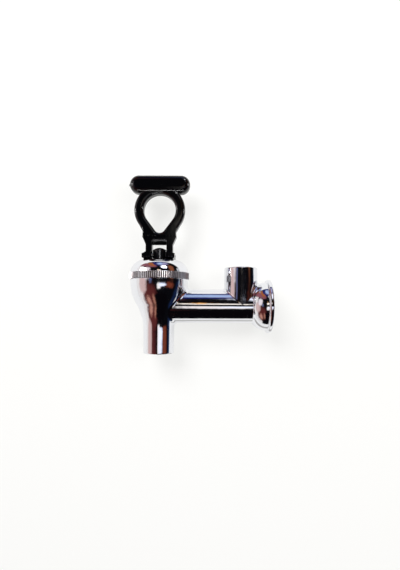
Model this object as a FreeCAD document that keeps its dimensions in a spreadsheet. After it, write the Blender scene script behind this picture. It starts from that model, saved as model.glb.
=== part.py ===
"""Self-closing dispenser tap, as a parametric document.

Millimetres. The part's origin is the centre of the flange's mounting face, +X points out of the inlet and +Z
points up, along the spout axis. Each piece is drawn in a frame of its own, whose Z axis is the spout axis and
whose zero level is the axis of the shank, and is then placed one spout reach behind the flange.
"""

import FreeCAD, Part
import math
import os
import re
import Sketcher

SIZES = {
    # Shank, flange and inlet
    "spout_reach": 56.0,
    "tube_radius": 8.45,
    "flare_length": 9.5,
    "flare_end_radius": 12.1,
    "rim_radius": 13.5,
    "rim_width": 2.3,
    "rim_rounding": 0.9,
    "waterway_radius": 4.4,
    "inlet_radius": 5.9,
    "inlet_depth": 8.0,
    "gasket_bore_radius": 7.6,
    "gasket_rim_radius": 10.8,
    "gasket_thickness": 1.2,
    # Gauge boss
    "boss_setback": 14.75,
    "boss_radius": 8.4,
    "boss_top": 19.45,
    "boss_rounding": 0.6,
    "boss_foot_rounding": 1.0,
    "socket_radius": 6.6,
    "socket_depth": 8.8,
    "gauge_passage_radius": 3.0,
    "seal_bore_radius": 5.0,
    "seal_height": 8.2,
    # Spout and bulb, with depths measured down from the shank axis
    "spout_depth": 23.5,
    "spout_tip_radius": 7.7,
    "spout_tip_rounding": 0.5,
    "waist_depth": 12.0,
    "waist_radius": 7.8,
    "bulb_radius": 14.5,
    "bulb_level": 12.0,
    "bulb_arc_radius": 22.0,
    "body_top": 13.5,
    "body_edge_rounding": 0.4,
    "saddle_rounding": 1.8,
    # Chamber, seat and outlet
    "cap_wall": 2.5,
    "chamber_wall": 2.2,
    "ledge_width": 2.2,
    "ledge_level": 6.0,
    "seat_depth": 6.2,
    "seat_radius": 4.6,
    "lip_width": 0.7,
    "lip_height": 0.8,
    "seat_land": 2.0,
    "outlet_cone_height": 1.4,
    "outlet_radius": 5.9,
    # Bonnet
    "thread_gap": 0.1,
    "spigot_wall": 2.9,
    "knurl_radius": 15.0,
    "knurl_height": 3.1,
    "knurl_depth": 0.45,
    "knurl_count": 90,
    "knurl_crest": 0.05,
    "knurl_step": 0.4,
    "dome_height": 6.3,
    "dome_arc_radius": 6.6,
    "dome_inset": 4.8,
    "dome_rounding": 0.8,
    "roof_thickness": 2.0,
    # Seat cup and the ring that clamps it
    "cup_rim_thickness": 1.6,
    "cup_rim_width": 3.4,
    "cup_rim_gap": 0.3,
    "cup_wall": 1.3,
    "cup_shoulder_gap": 0.9,
    "cup_plug_radius": 5.5,
    "cup_nose_height": 1.3,
    "cup_nose_gap": 0.4,
    "cup_flank_height": 3.4,
    "cup_floor_height": 7.8,
    "clamp_thickness": 1.4,
    # Stem, washer, spring and bush
    "stem_radius": 3.45,
    "stem_dome_height": 1.2,
    "stem_head_height": 3.7,
    "collar_level": 8.0,
    "collar_height": 1.1,
    "collar_radius": 4.3,
    "neck_radius": 2.2,
    "ball_radius": 3.0,
    "ball_height": 3.6,
    "ball_gap": 0.1,
    "washer_thickness": 0.9,
    "washer_rim_radius": 6.6,
    "stack_gap": 0.05,
    "wire_radius": 0.45,
    "coil_radius": 5.5,
    "coil_turns": 5,
    "guide_gap": 0.05,
    "bush_wall": 1.0,
    "bush_flange_radius": 7.5,
    "bush_flange_thickness": 1.2,
    "bush_seat_gap": 0.02,
    # Handle: cam feet, legs and bridge
    "pivot_height": 2.9,
    "pin_radius": 1.25,
    "pin_gap": 0.05,
    "pin_press_gap": 0.01,
    "pin_length": 15.5,
    "pin_chamfer": 0.2,
    "cam_rate": 4.6,
    "cam_angle": 40.0,
    "cam_clearance": 0.12,
    "foot_half_width": 8.05,
    "foot_top": 1.9,
    "foot_heel": 3.3,
    "toe_top": 0.8,
    "toe_shoulder": 3.6,
    "sole_rounding": 0.8,
    "instep_rounding": 1.8,
    "fork_side_gap": 0.15,
    "leg_width": 3.25,
    "leg_depth": 5.0,
    "leg_flare_level": 5.2,
    "leg_flare_height": 4.0,
    "shoulder_level": 9.5,
    "bridge_half_width": 8.6,
    "bridge_front": 1.8,
    "bridge_back": 4.0,
    "scoop_radius": 5.0,
    # Handle: ring and thumb bar
    "block_half_width": 8.4,
    "block_height": 2.2,
    "tenon_half_width": 2.4,
    "tenon_half_depth": 1.2,
    "tenon_height": 1.2,
    "tenon_gap": 0.1,
    "ring_height": 13.4,
    "ring_radius": 12.9,
    "ring_depth": 6.0,
    "ring_rounding": 1.5,
    "ring_shoulder_angle": 36.0,
    "opening_radius": 8.1,
    "opening_tip_radius": 2.8,
    "opening_tip_height": 1.7,
    "bar_height": 26.5,
    "bar_half_length": 15.35,
    "bar_half_height": 4.65,
    "bar_depth": 7.8,
    "bar_rounding": 2.8,
    "gate_radius": 0.55,
    "gate_height": 0.45,
}

CAM_ARCS = 4
QUARTERS = 4
DIGITS = 6

# Levels along the spout axis, stacked from the sizes
RIM_TOP = "(body_top + knurl_height)"
BONNET_TOP = f"({RIM_TOP} + dome_height)"
ROOF = f"({BONNET_TOP} - roof_thickness)"
CUP_RIM_TOP = "(ledge_level + cup_rim_thickness)"
SPIGOT_END = f"({CUP_RIM_TOP} + clamp_thickness)"
BALL_CENTRE = "(ball_height - seat_depth)"
WASHER_SEAT = "(collar_level + stack_gap)"
WASHER_TOP = f"({WASHER_SEAT} + washer_thickness)"
BUSH_FOOT = f"({ROOF} - bush_flange_thickness)"
PIVOT = f"({BONNET_TOP} + pivot_height)"
STEM_TOP = f"({PIVOT} + stem_head_height)"
SHOULDER = f"({PIVOT} + shoulder_level)"
RING_CENTRE = f"({SHOULDER} + ring_height)"
BAR_CENTRE = f"({SHOULDER} + bar_height)"

# Radii and places that follow from a neighbour
CAP_BORE = "(bulb_radius - cap_wall)"
CHAMBER = f"({CAP_BORE} - ledge_width)"
SPIGOT = f"({CAP_BORE} - thread_gap)"
SPIGOT_BORE = f"({SPIGOT} - spigot_wall)"
CUP_RIM = f"({CAP_BORE} - cup_rim_gap)"
CUP_RIM_BORE = f"({CUP_RIM} - cup_rim_width)"
CUP_SHOULDER = f"({CHAMBER} - cup_shoulder_gap)"
DOME_FOOT = "(knurl_radius - knurl_step)"
DOME_CROWN = f"({DOME_FOOT} - dome_inset)"
BUSH_BORE = "(stem_radius + guide_gap)"
BUSH = f"({BUSH_BORE} + bush_wall)"
BOSS_X = "(spout_reach - boss_setback)"
SLOT = "(stem_radius + fork_side_gap)"
LEG = f"({SLOT} + leg_width)"

# Length of a cut that goes right through the handle or the stem
THROUGH = "(2 * pin_length)"

doc = FreeCAD.newDocument("SelfClosingTap")


def make_sheet():
    """Writes the driving sizes into a sheet, one alias to a cell."""
    table = doc.addObject("Spreadsheet::Sheet", "Sizes")
    for row, (name, size) in enumerate(SIZES.items(), start=1):
        table.set(f"A{row}", name.replace("_", " "))
        table.set(f"B{row}", str(size))
        table.setAlias(f"B{row}", name)
    doc.recompute()
    return table


sheet = make_sheet()


def tied(formula):
    """Turns the size names in a formula into references to the sheet."""
    def refer(found):
        word = found.group()
        return f"Sizes.{word}" if word in SIZES else word
    return re.sub(r"[a-z_]+", refer, formula)


def value(formula):
    """Works a formula out with the sheet's present sizes."""
    return float(sheet.evalExpression(tied(formula)))


def new_body(label):
    """Starts a piece and places its frame on the spout axis."""
    body = doc.addObject("PartDesign::Body", label)
    body.Label = label
    body.setExpression("Placement.Base.x", tied("-spout_reach"))
    return body


def new_sketch(body, role, label, offset="0"):
    """Adds a sketch on one of the body's own planes, moved along its normal by the offset."""
    sketch = body.newObject("Sketcher::SketchObject", f"{body.Label}_{label}")
    plane = [item for item in body.Origin.OriginFeatures if item.Role == role][0]
    sketch.AttachmentSupport = [(plane, "")]
    sketch.MapMode = "FlatFace"
    if offset != "0":
        sketch.setExpression("AttachmentOffset.Base.z", tied(offset))
    return sketch


def hold(sketch, kind, elements, formula):
    """Adds one dimension to a sketch and binds it to the sheet."""
    index = sketch.addConstraint(Sketcher.Constraint(kind, *elements, value(formula)))
    if tied(formula) != formula:
        sketch.setExpression(f"Constraints[{index}]", tied(formula))


def arc_through(start, end, radius, side):
    """Makes the shorter arc between two points, bulging left (1) or right (-1) of the way travelled."""
    chord = end.sub(start)
    middle = start.add(end).multiply(0.5)
    half = chord.Length / 2
    sagitta = radius - math.sqrt(radius * radius - half * half)
    bulge = FreeCAD.Vector(-chord.y, chord.x, 0).normalize().multiply(side * sagitta)
    return Part.Arc(start, middle.add(bulge), end)


def spot(x, y):
    """Gives the point of a sketch that two formulas name."""
    return FreeCAD.Vector(value(x), value(y), 0)


def is_steered(step):
    """Tells a step with two handles from a straight run or an arc."""
    return len(step) > 2 and isinstance(step[2], tuple)


def run_to(start, end, step):
    """Makes the line, arc or steered curve that a step asks for."""
    if len(step) == 2:
        return Part.LineSegment(start, end)
    if is_steered(step):
        poles = [start, spot(*step[2]), spot(*step[3]), end]
        return Part.BSplineCurve(poles, None, None, False, len(poles) - 1, None, False)
    return arc_through(start, end, value(step[2]), step[3])


def hold_handles(sketch, piece, handles):
    """Holds the two inner poles of a steered curve."""
    for pole, (x, y) in enumerate(handles, start=1):
        mark = sketch.addGeometry(Part.Circle(spot(x, y), FreeCAD.Vector(0, 0, 1), 1), True)
        sketch.addConstraint(Sketcher.Constraint("Weight", mark, 1.0))
        aligned = "InternalAlignment:Sketcher::BSplineControlPoint"
        sketch.addConstraint(Sketcher.Constraint(aligned, mark, 3, piece, pole))
        hold(sketch, "DistanceX", (-1, 1, mark, 3), x)
        hold(sketch, "DistanceY", (-1, 1, mark, 3), y)


def outline(sketch, steps):
    """Draws one closed outline, fully held.

    A step is (x, y), the end of a straight run, (x, y, radius, side), the end of an arc, or (x, y, handle,
    handle), the end of a curve steered by two points. The first step's run closes the outline.
    """
    points = [spot(step[0], step[1]) for step in steps]
    pieces = []
    for index, step in enumerate(steps):
        start, end = points[index - 1], points[index]
        piece = sketch.addGeometry(run_to(start, end, step), False)
        gaps = [sketch.getPoint(piece, end_point).distanceToPoint(start) for end_point in (1, 2)]
        pieces.append((piece, 1, 2) if gaps[0] < gaps[1] else (piece, 2, 1))
    for index, step in enumerate(steps):
        piece, _, last = pieces[index]
        following, first, _ = pieces[(index + 1) % len(steps)]
        sketch.addConstraint(Sketcher.Constraint("Coincident", piece, last, following, first))
        hold(sketch, "DistanceX", (-1, 1, piece, last), step[0])
        hold(sketch, "DistanceY", (-1, 1, piece, last), step[1])
        if is_steered(step):
            hold_handles(sketch, piece, step[2:])
        elif len(step) > 2:
            hold(sketch, "Radius", (piece,), step[2])


def ring_outline(sketch, inner, outer, low, high):
    """Draws the section of a plain ring."""
    outline(sketch, [(inner, low), (outer, low), (outer, high), (inner, high)])


def circle(sketch, x, y, radius):
    """Draws one circle, fully held."""
    centre = FreeCAD.Vector(value(x), value(y), 0)
    piece = sketch.addGeometry(Part.Circle(centre, FreeCAD.Vector(0, 0, 1), value(radius)), False)
    hold(sketch, "Radius", (piece,), radius)
    hold(sketch, "DistanceX", (-1, 1, piece, 3), x)
    hold(sketch, "DistanceY", (-1, 1, piece, 3), y)


def feature(body, kind, label, sketch, **settings):
    """Adds a feature that is made from a sketch."""
    made = body.newObject(f"PartDesign::{kind}", f"{body.Label}_{label}")
    made.Profile = sketch
    for name, setting in settings.items():
        setattr(made, name, setting)
    return made


def turned(body, kind, label, sketch, axis="V_Axis"):
    """Turns a sketch about one of its own axes, to add (Revolution) or to cut (Groove)."""
    return feature(body, kind, label, sketch, ReferenceAxis=(sketch, [axis]))


def pushed(body, kind, label, sketch, length, side="One side", backwards=False):
    """Pushes a sketch along its normal, to add (Pad) or to cut (Pocket)."""
    made = feature(body, kind, label, sketch, SideType=side, Reversed=backwards)
    made.setExpression("Length", tied(length))
    return made


def rounded(body, base, label, radius, chosen):
    """Rounds the edges of a feature that a test chooses."""
    doc.recompute()
    names = [f"Edge{number}" for number, edge in enumerate(base.Shape.Edges, start=1) if chosen(edge)]
    made = body.newObject("PartDesign::Fillet", f"{body.Label}_{label}")
    made.Base = (base, names)
    made.setExpression("Radius", tied(radius))
    return made


def near(first, second):
    """Tells whether two lengths agree within the modeller's own tolerance."""
    return abs(first - second) < 10 ** -DIGITS


def ring_edge(radius, level):
    """Makes a test for the level circle of a radius about the spout axis."""
    def chosen(edge):
        box = edge.BoundBox
        return near(box.ZMin, level) and near(box.ZMax, level) and abs(box.XMax - radius) < value("stack_gap")
    return chosen


def flank_point(centre, radius, side, angle, along="0"):
    """Gives a point on an arc of the flank, or one further along the tangent there.

    The angle is measured from the level. The side is -1 for the hollow arc, centred outside the bulb, and 1
    for the round one.
    """
    x = f"{centre[0]} + {side} * {radius} * cos({angle}) + {along} * sin({angle})"
    z = f"{centre[1]} - {side} * {radius} * sin({angle}) + {along} * cos({angle})"
    return x, z


def flank_run(centre, radius, side, start, end):
    """Gives the curve step that follows an arc of the flank from one angle to another."""
    handle = f"{radius} * 4 / 3 * tan(abs({end} - {start}) / 4)"
    first = flank_point(centre, radius, side, start, f"({handle})")
    second = flank_point(centre, radius, side, end, f"(-1 * {handle})")
    return (*flank_point(centre, radius, side, end), first, second)


def build_tap_body():
    """Casting: bulb and spout turned about Z, shank and flange about X, and the boss padded up."""
    body = new_body("tap_body")
    rise = "(bulb_level + waist_depth)"
    spread = "(bulb_radius - waist_radius)"
    total = f"(({spread}^2 + {rise}^2) / (2 * {spread}))"
    turn = f"asin({rise} / {total})"
    hollow = f"({total} - bulb_arc_radius)"
    hollow_centre = (f"(waist_radius + {hollow})", "(-waist_depth)")
    round_centre = ("(bulb_radius - bulb_arc_radius)", "bulb_level")

    # Drawn at right angles to the shank, which keeps the seam of the turned faces clear of the saddle
    spout = new_sketch(body, "YZ_Plane", "spout_outline")
    outline(spout, [
        ("0", "-spout_depth"),
        ("spout_tip_radius", "-spout_depth"),
        ("waist_radius", "-waist_depth"),
        flank_run(hollow_centre, hollow, -1, "0 deg", turn),
        flank_run(round_centre, "bulb_arc_radius", 1, turn, "0 deg"),
        ("bulb_radius", "body_top"),
        ("0", "body_top"),
    ])
    turned(body, "Revolution", "bulb", spout)

    shank = new_sketch(body, "XZ_Plane", "shank_outline")
    flare_start = "(spout_reach - flare_length)"
    rim_back = "(spout_reach - rim_width)"
    run = "(flare_length - rim_width)"
    climb = "(flare_end_radius - tube_radius)"
    outline(shank, [
        ("0", "0"),
        ("spout_reach", "0"),
        ("spout_reach", "rim_radius"),
        (rim_back, "rim_radius"),
        (rim_back, "flare_end_radius"),
        (flare_start, "tube_radius", f"({run}^2 + {climb}^2) / (2 * {climb})", -1),
        ("0", "tube_radius"),
    ])
    turned(body, "Revolution", "shank", shank, "H_Axis")

    boss = new_sketch(body, "XY_Plane", "boss_outline")
    circle(boss, BOSS_X, "0", "boss_radius")
    solid = pushed(body, "Pad", "boss", boss, "boss_top")

    doc.recompute()
    bulb, rim = value("bulb_radius"), value("rim_radius")
    boss_top, gap = value("boss_top"), value("stack_gap")

    def on_foot(edge):
        box = edge.BoundBox
        return edge.Curve.TypeId == "Part::GeomBSplineCurve" and box.XMin > bulb and box.ZMax < boss_top
    solid = rounded(body, solid, "boss_foot", "boss_foot_rounding", on_foot)

    def on_saddle(edge):
        box = edge.BoundBox
        steered = edge.Curve.TypeId == "Part::GeomBSplineCurve"
        return steered and box.Center.x > 0 and box.XMax < bulb and box.YLength > gap
    solid = rounded(body, solid, "saddle", "saddle_rounding", on_saddle)

    def on_rim(edge):
        box = edge.BoundBox
        return near(box.XMin, box.XMax) and box.XMin > bulb and abs(box.ZMax - rim) < gap
    solid = rounded(body, solid, "rim_edges", "rim_rounding", on_rim)

    def on_boss(edge):
        return near(edge.BoundBox.ZMin, boss_top) and near(edge.BoundBox.ZMax, boss_top)
    solid = rounded(body, solid, "boss_edge", "boss_rounding", on_boss)
    solid = rounded(body, solid, "body_edge", "body_edge_rounding", ring_edge(bulb, value("body_top")))
    tip = ring_edge(value("spout_tip_radius"), -value("spout_depth"))
    rounded(body, solid, "spout_edge", "spout_tip_rounding", tip)

    chamber = new_sketch(body, "XZ_Plane", "chamber_outline")
    floor = "(-seat_depth - lip_height)"
    inner_hollow = f"({hollow} + chamber_wall)"
    low_angle = f"asin((waist_depth + {floor}) / {inner_hollow})"
    outline(chamber, [
        ("0", "-spout_depth"),
        ("outlet_radius", "-spout_depth"),
        ("outlet_radius", "-seat_depth - seat_land - outlet_cone_height"),
        ("seat_radius", "-seat_depth - seat_land"),
        ("seat_radius", "-seat_depth"),
        ("seat_radius + lip_width", "-seat_depth"),
        ("seat_radius + lip_width", floor),
        flank_point(hollow_centre, inner_hollow, -1, low_angle),
        flank_run(hollow_centre, inner_hollow, -1, low_angle, turn),
        (CHAMBER, "ledge_level"),
        (CAP_BORE, "ledge_level"),
        (CAP_BORE, "body_top"),
        ("0", "body_top"),
    ])
    turned(body, "Groove", "chamber", chamber)

    inlet = new_sketch(body, "XZ_Plane", "inlet_outline")
    outline(inlet, [
        ("0", "0"),
        ("spout_reach", "0"),
        ("spout_reach", "inlet_radius"),
        ("spout_reach - inlet_depth", "inlet_radius"),
        ("spout_reach - inlet_depth", "waterway_radius"),
        ("0", "waterway_radius"),
    ])
    turned(body, "Groove", "waterway", inlet, "H_Axis")

    recess = new_sketch(body, "XZ_Plane", "gasket_recess_outline")
    ring_outline(recess, "spout_reach - gasket_thickness", "spout_reach",
                 "gasket_bore_radius - stack_gap", "gasket_rim_radius + stack_gap")
    turned(body, "Groove", "gasket_recess", recess, "H_Axis")

    socket = new_sketch(body, "XY_Plane", "socket_outline", "boss_top")
    circle(socket, BOSS_X, "0", "socket_radius")
    pushed(body, "Pocket", "socket", socket, "socket_depth")

    passage = new_sketch(body, "XY_Plane", "passage_outline", "boss_top")
    circle(passage, BOSS_X, "0", "gauge_passage_radius")
    pushed(body, "Pocket", "passage", passage, "boss_top")
    return body


def build_bonnet():
    """Cap turned about Z, with a straight knurl cut around its rim."""
    body = new_body("bonnet")
    section = new_sketch(body, "XZ_Plane", "outline")
    outline(section, [
        (SPIGOT_BORE, SPIGOT_END),
        (SPIGOT, SPIGOT_END),
        (SPIGOT, "body_top"),
        ("knurl_radius", "body_top"),
        ("knurl_radius", RIM_TOP),
        (DOME_FOOT, RIM_TOP),
        (DOME_CROWN, BONNET_TOP, "dome_arc_radius", -1),
        (f"{BUSH} + bush_seat_gap", BONNET_TOP),
        (f"{BUSH} + bush_seat_gap", ROOF),
        (SPIGOT_BORE, ROOF),
    ])
    solid = turned(body, "Revolution", "cap", section)
    doc.recompute()
    crown = ring_edge(value(DOME_CROWN), value(BONNET_TOP))
    rounded(body, solid, "crown_edge", "dome_rounding", crown)

    notch = new_sketch(body, "XY_Plane", "notch_outline", "body_top")
    half = "(2 * pi * knurl_radius / knurl_count - knurl_crest)"
    outline(notch, [
        ("knurl_radius - knurl_depth", "0"),
        ("knurl_radius + knurl_depth", f"-{half}"),
        ("knurl_radius + knurl_depth", half),
    ])
    cut = pushed(body, "Pocket", "notch", notch, "knurl_height", backwards=True)
    doc.recompute()
    knurl = body.newObject("PartDesign::PolarPattern", "bonnet_knurl")
    knurl.Originals = [cut]
    knurl.Axis = (notch, ["N_Axis"])
    knurl.setExpression("Occurrences", tied("knurl_count"))
    body.Tip = knurl
    return body


def build_turned_rings():
    """Plain rings on the spout axis: the clamp ring and the washer under the spring."""
    rings = {
        "cup_clamp_ring": (CUP_RIM_BORE, CUP_RIM, CUP_RIM_TOP, SPIGOT_END),
        "spring_washer": ("stem_radius + guide_gap", "washer_rim_radius", WASHER_SEAT, WASHER_TOP),
    }
    made = []
    for label, (inner, outer, low, high) in rings.items():
        body = new_body(label)
        section = new_sketch(body, "XZ_Plane", "outline")
        ring_outline(section, inner, outer, low, high)
        turned(body, "Revolution", "ring", section)
        made.append(body)
    return made


def build_guide_bush():
    """Flanged bush that fills the hole of the bonnet."""
    body = new_body("stem_guide_bush")
    section = new_sketch(body, "XZ_Plane", "outline")
    outline(section, [
        (BUSH_BORE, BUSH_FOOT),
        ("bush_flange_radius", BUSH_FOOT),
        ("bush_flange_radius", ROOF),
        (BUSH, ROOF),
        (BUSH, BONNET_TOP),
        (BUSH_BORE, BONNET_TOP),
    ])
    turned(body, "Revolution", "bush", section)
    return body


def build_seat_cup():
    """Bell cup: a clamped rim, a thin wall and a thick nose that grips the ball and closes the seat."""
    body = new_body("seat_cup")
    section = new_sketch(body, "XZ_Plane", "outline")
    socket = "(ball_radius + ball_gap)"
    neck = "(neck_radius + ball_gap)"
    nose = "(seat_radius - cup_nose_gap)"
    floor = "(cup_floor_height - seat_depth)"
    outline(section, [
        ("0", "-seat_depth - cup_nose_height"),
        (f"{nose} - cup_nose_gap", "-seat_depth - cup_nose_height"),
        (nose, "-seat_depth"),
        ("cup_plug_radius", "-seat_depth"),
        ("cup_plug_radius", "cup_flank_height - seat_depth"),
        (CUP_SHOULDER, "ledge_level - cup_rim_thickness"),
        (CUP_SHOULDER, "ledge_level"),
        (CUP_RIM, "ledge_level"),
        (CUP_RIM, CUP_RIM_TOP),
        (f"{CUP_SHOULDER} - cup_wall", CUP_RIM_TOP),
        (f"{CUP_SHOULDER} - cup_wall", "ledge_level - cup_rim_thickness + cup_wall"),
        ("cup_plug_radius", floor),
        (neck, floor),
        (neck, f"{BALL_CENTRE} + sqrt({socket}^2 - {neck}^2)"),
        ("0", f"{BALL_CENTRE} - {socket}", socket, 1),
    ])
    turned(body, "Revolution", "cup", section)
    return body


def build_stem():
    """Spindle: ball end, collar for the washer, guided shaft and domed head with its pin hole."""
    body = new_body("stem")
    section = new_sketch(body, "XZ_Plane", "outline")
    outline(section, [
        ("0", f"{BALL_CENTRE} - ball_radius"),
        ("neck_radius", f"{BALL_CENTRE} + sqrt(ball_radius^2 - neck_radius^2)", "ball_radius", -1),
        ("neck_radius", "collar_level - collar_height"),
        ("collar_radius", "collar_level - collar_height"),
        ("collar_radius", "collar_level"),
        ("stem_radius", "collar_level"),
        ("stem_radius", f"{STEM_TOP} - stem_dome_height"),
        ("0", STEM_TOP, "(stem_radius^2 + stem_dome_height^2) / (2 * stem_dome_height)", -1),
    ])
    turned(body, "Revolution", "shaft", section)

    hole = new_sketch(body, "YZ_Plane", "pin_hole_outline")
    circle(hole, "0", PIVOT, "pin_radius + pin_gap")
    pushed(body, "Pocket", "pin_hole", hole, THROUGH, "Symmetric")
    return body


def build_pivot_pin():
    """Plain pin along X through both feet and the stem head."""
    body = new_body("pivot_pin")
    section = new_sketch(body, "YZ_Plane", "outline")
    circle(section, "0", PIVOT, "pin_radius")
    solid = pushed(body, "Pad", "pin", section, "pin_length", "Symmetric")
    doc.recompute()
    ends = [f"Edge{number}" for number, edge in enumerate(solid.Shape.Edges, start=1)
            if near(edge.BoundBox.XMin, edge.BoundBox.XMax)]
    chamfer = body.newObject("PartDesign::Chamfer", "pivot_pin_chamfer")
    chamfer.Base = (solid, ends)
    chamfer.setExpression("Size", tied("pin_chamfer"))
    return body


def cam_point(angle):
    """Gives a point of the cam, an involute whose reach below the pivot grows evenly with the tilt."""
    reach = f"(pivot_height - cam_clearance + cam_rate * ({angle}) * pi / 180)"
    y = f"-{reach} * sin({angle}) - cam_rate * cos({angle})"
    z = f"{PIVOT} - {reach} * cos({angle}) + cam_rate * sin({angle})"
    return y, z, reach


def build_cam_fork():
    """Lower half of the handle: cam feet, two legs and the bridge that carries the ring."""
    body = new_body("cam_fork")
    feet = new_sketch(body, "YZ_Plane", "feet_outline")
    foot_bottom = f"{BONNET_TOP} + cam_clearance"
    steps = [("foot_heel", foot_bottom), cam_point("0")[:2]]
    for number in range(CAM_ARCS):
        y, z, _ = cam_point(f"cam_angle * {number + 1} / {CAM_ARCS}")
        _, _, radius = cam_point(f"cam_angle * {2 * number + 1} / {2 * CAM_ARCS}")
        steps.append((y, z, radius, 1))
    steps += [
        (cam_point("cam_angle")[0], f"{PIVOT} + toe_top"),
        ("-toe_shoulder", f"{PIVOT} + foot_top"),
        ("foot_heel", f"{PIVOT} + foot_top"),
    ]
    outline(feet, steps)
    pushed(body, "Pad", "feet", feet, "2 * foot_half_width", "Symmetric")

    corners = new_sketch(body, "XZ_Plane", "foot_corners_outline")
    edges = ((foot_bottom, "-", "+", "sole_rounding"), (f"{PIVOT} + foot_top", "+", "-", "instep_rounding"))
    for sign in ("-", ""):
        for level, turn, back, rounding in edges:
            bulge = 1 if (sign == "-") == (turn == "-") else -1
            outline(corners, [
                (f"{sign}foot_half_width", f"{level} {back} {rounding}"),
                (f"{sign}(foot_half_width - {rounding})", level, rounding, bulge),
                (f"{sign}(foot_half_width - {rounding})", f"{level} {turn} {rounding}"),
                (f"{sign}(foot_half_width + {rounding})", f"{level} {turn} {rounding}"),
                (f"{sign}(foot_half_width + {rounding})", f"{level} {back} {rounding}"),
            ])
    pushed(body, "Pocket", "foot_corners", corners, THROUGH, "Symmetric")

    slot = new_sketch(body, "XZ_Plane", "slot_outline")
    outline(slot, [
        (f"-{SLOT}", BONNET_TOP),
        (SLOT, BONNET_TOP),
        (SLOT, f"{PIVOT} + foot_top + stack_gap"),
        (f"-{SLOT}", f"{PIVOT} + foot_top + stack_gap"),
    ])
    pushed(body, "Pocket", "slot", slot, THROUGH, "Symmetric")

    legs = new_sketch(body, "XZ_Plane", "legs_outline")
    right = [
        (LEG, PIVOT),
        (LEG, f"{PIVOT} + leg_flare_level"),
        ("bridge_half_width", f"{PIVOT} + leg_flare_level + leg_flare_height"),
        ("bridge_half_width", SHOULDER),
    ]
    left = [(f"-{x}", z) for x, z in reversed(right)]
    bridge_low = f"{SHOULDER} - bridge_front + stack_gap"
    outline(legs, right + left + [
        (f"-{SLOT}", PIVOT),
        (f"-{SLOT}", bridge_low),
        (SLOT, bridge_low),
        (SLOT, PIVOT),
    ])
    pushed(body, "Pad", "legs", legs, "leg_depth", "Symmetric")

    bridge = new_sketch(body, "YZ_Plane", "bridge_outline")
    outline(bridge, [
        ("-leg_depth / 2", f"{SHOULDER} - bridge_front"),
        ("leg_depth / 2", f"{SHOULDER} - bridge_back", "scoop_radius", 1),
        ("leg_depth / 2", SHOULDER),
        ("-leg_depth / 2", SHOULDER),
    ])
    pushed(body, "Pad", "bridge", bridge, f"2 * {SLOT} + leg_width", "Symmetric")

    hole = new_sketch(body, "YZ_Plane", "pin_hole_outline")
    circle(hole, "0", PIVOT, "pin_radius + pin_press_gap")
    pushed(body, "Pocket", "pin_hole", hole, THROUGH, "Symmetric")

    mortise = new_sketch(body, "XY_Plane", "mortise_outline", SHOULDER)
    across, deep = "(tenon_half_width + tenon_gap)", "(tenon_half_depth + tenon_gap)"
    outline(mortise, [(f"-{across}", f"-{deep}"), (across, f"-{deep}"), (across, deep), (f"-{across}", deep)])
    pushed(body, "Pocket", "mortise", mortise, "tenon_height + tenon_gap")
    return body


def build_ring_loop():
    """Teardrop ring on its block, with the tenon below."""
    body = new_body("ring_loop")
    ring = new_sketch(body, "XZ_Plane", "ring_outline")
    side_x = "ring_radius * cos(ring_shoulder_angle)"
    side_z = f"{RING_CENTRE} - ring_radius * sin(ring_shoulder_angle)"
    top = f"({BAR_CENTRE} - bar_half_height / 2)"
    top_x = f"sqrt(ring_radius^2 - ({top} - {RING_CENTRE})^2)"
    outline(ring, [
        ("-block_half_width", SHOULDER),
        ("block_half_width", SHOULDER),
        ("block_half_width", f"{SHOULDER} + block_height"),
        (side_x, side_z),
        (top_x, top, "ring_radius", -1),
        (f"-{top_x}", top),
        (f"-{side_x}", side_z, "ring_radius", -1),
        ("-block_half_width", f"{SHOULDER} + block_height"),
    ])
    tip = f"({SHOULDER} + opening_tip_height + opening_tip_radius)"
    lean = f"asin((opening_radius - opening_tip_radius) / ({RING_CENTRE} - {tip}))"
    wide = (f"opening_radius * cos({lean})", f"{RING_CENTRE} - opening_radius * sin({lean})")
    low = (f"opening_tip_radius * cos({lean})", f"{tip} - opening_tip_radius * sin({lean})")
    outline(ring, [
        (f"-{low[0]}", low[1]),
        (low[0], low[1], "opening_tip_radius", -1),
        wide,
        ("0", f"{RING_CENTRE} + opening_radius", "opening_radius", -1),
        (f"-{wide[0]}", wide[1], "opening_radius", -1),
    ])
    solid = pushed(body, "Pad", "ring", ring, "ring_depth", "Symmetric")
    doc.recompute()
    face = value("ring_depth / 2")
    middle = value(f"{SHOULDER} + block_height / 2")
    edge_top = value(top)

    def around_ring(edge):
        box = edge.BoundBox
        flat = near(abs(box.YMin), face) and near(box.YMin, box.YMax)
        above_block = box.ZMin > middle or max(box.XMax, -box.XMin) < value("opening_tip_radius")
        return flat and above_block and not near(box.ZMin, edge_top) and not near(box.ZMin, box.ZMax)
    rounded(body, solid, "ring_edges", "ring_rounding", around_ring)

    tenon = new_sketch(body, "XY_Plane", "tenon_outline", SHOULDER)
    across, deep = "tenon_half_width", "tenon_half_depth"
    outline(tenon, [(f"-{across}", f"-{deep}"), (across, f"-{deep}"), (across, deep), (f"-{across}", deep)])
    pushed(body, "Pad", "tenon", tenon, "tenon_height", backwards=True)
    return body


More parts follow.
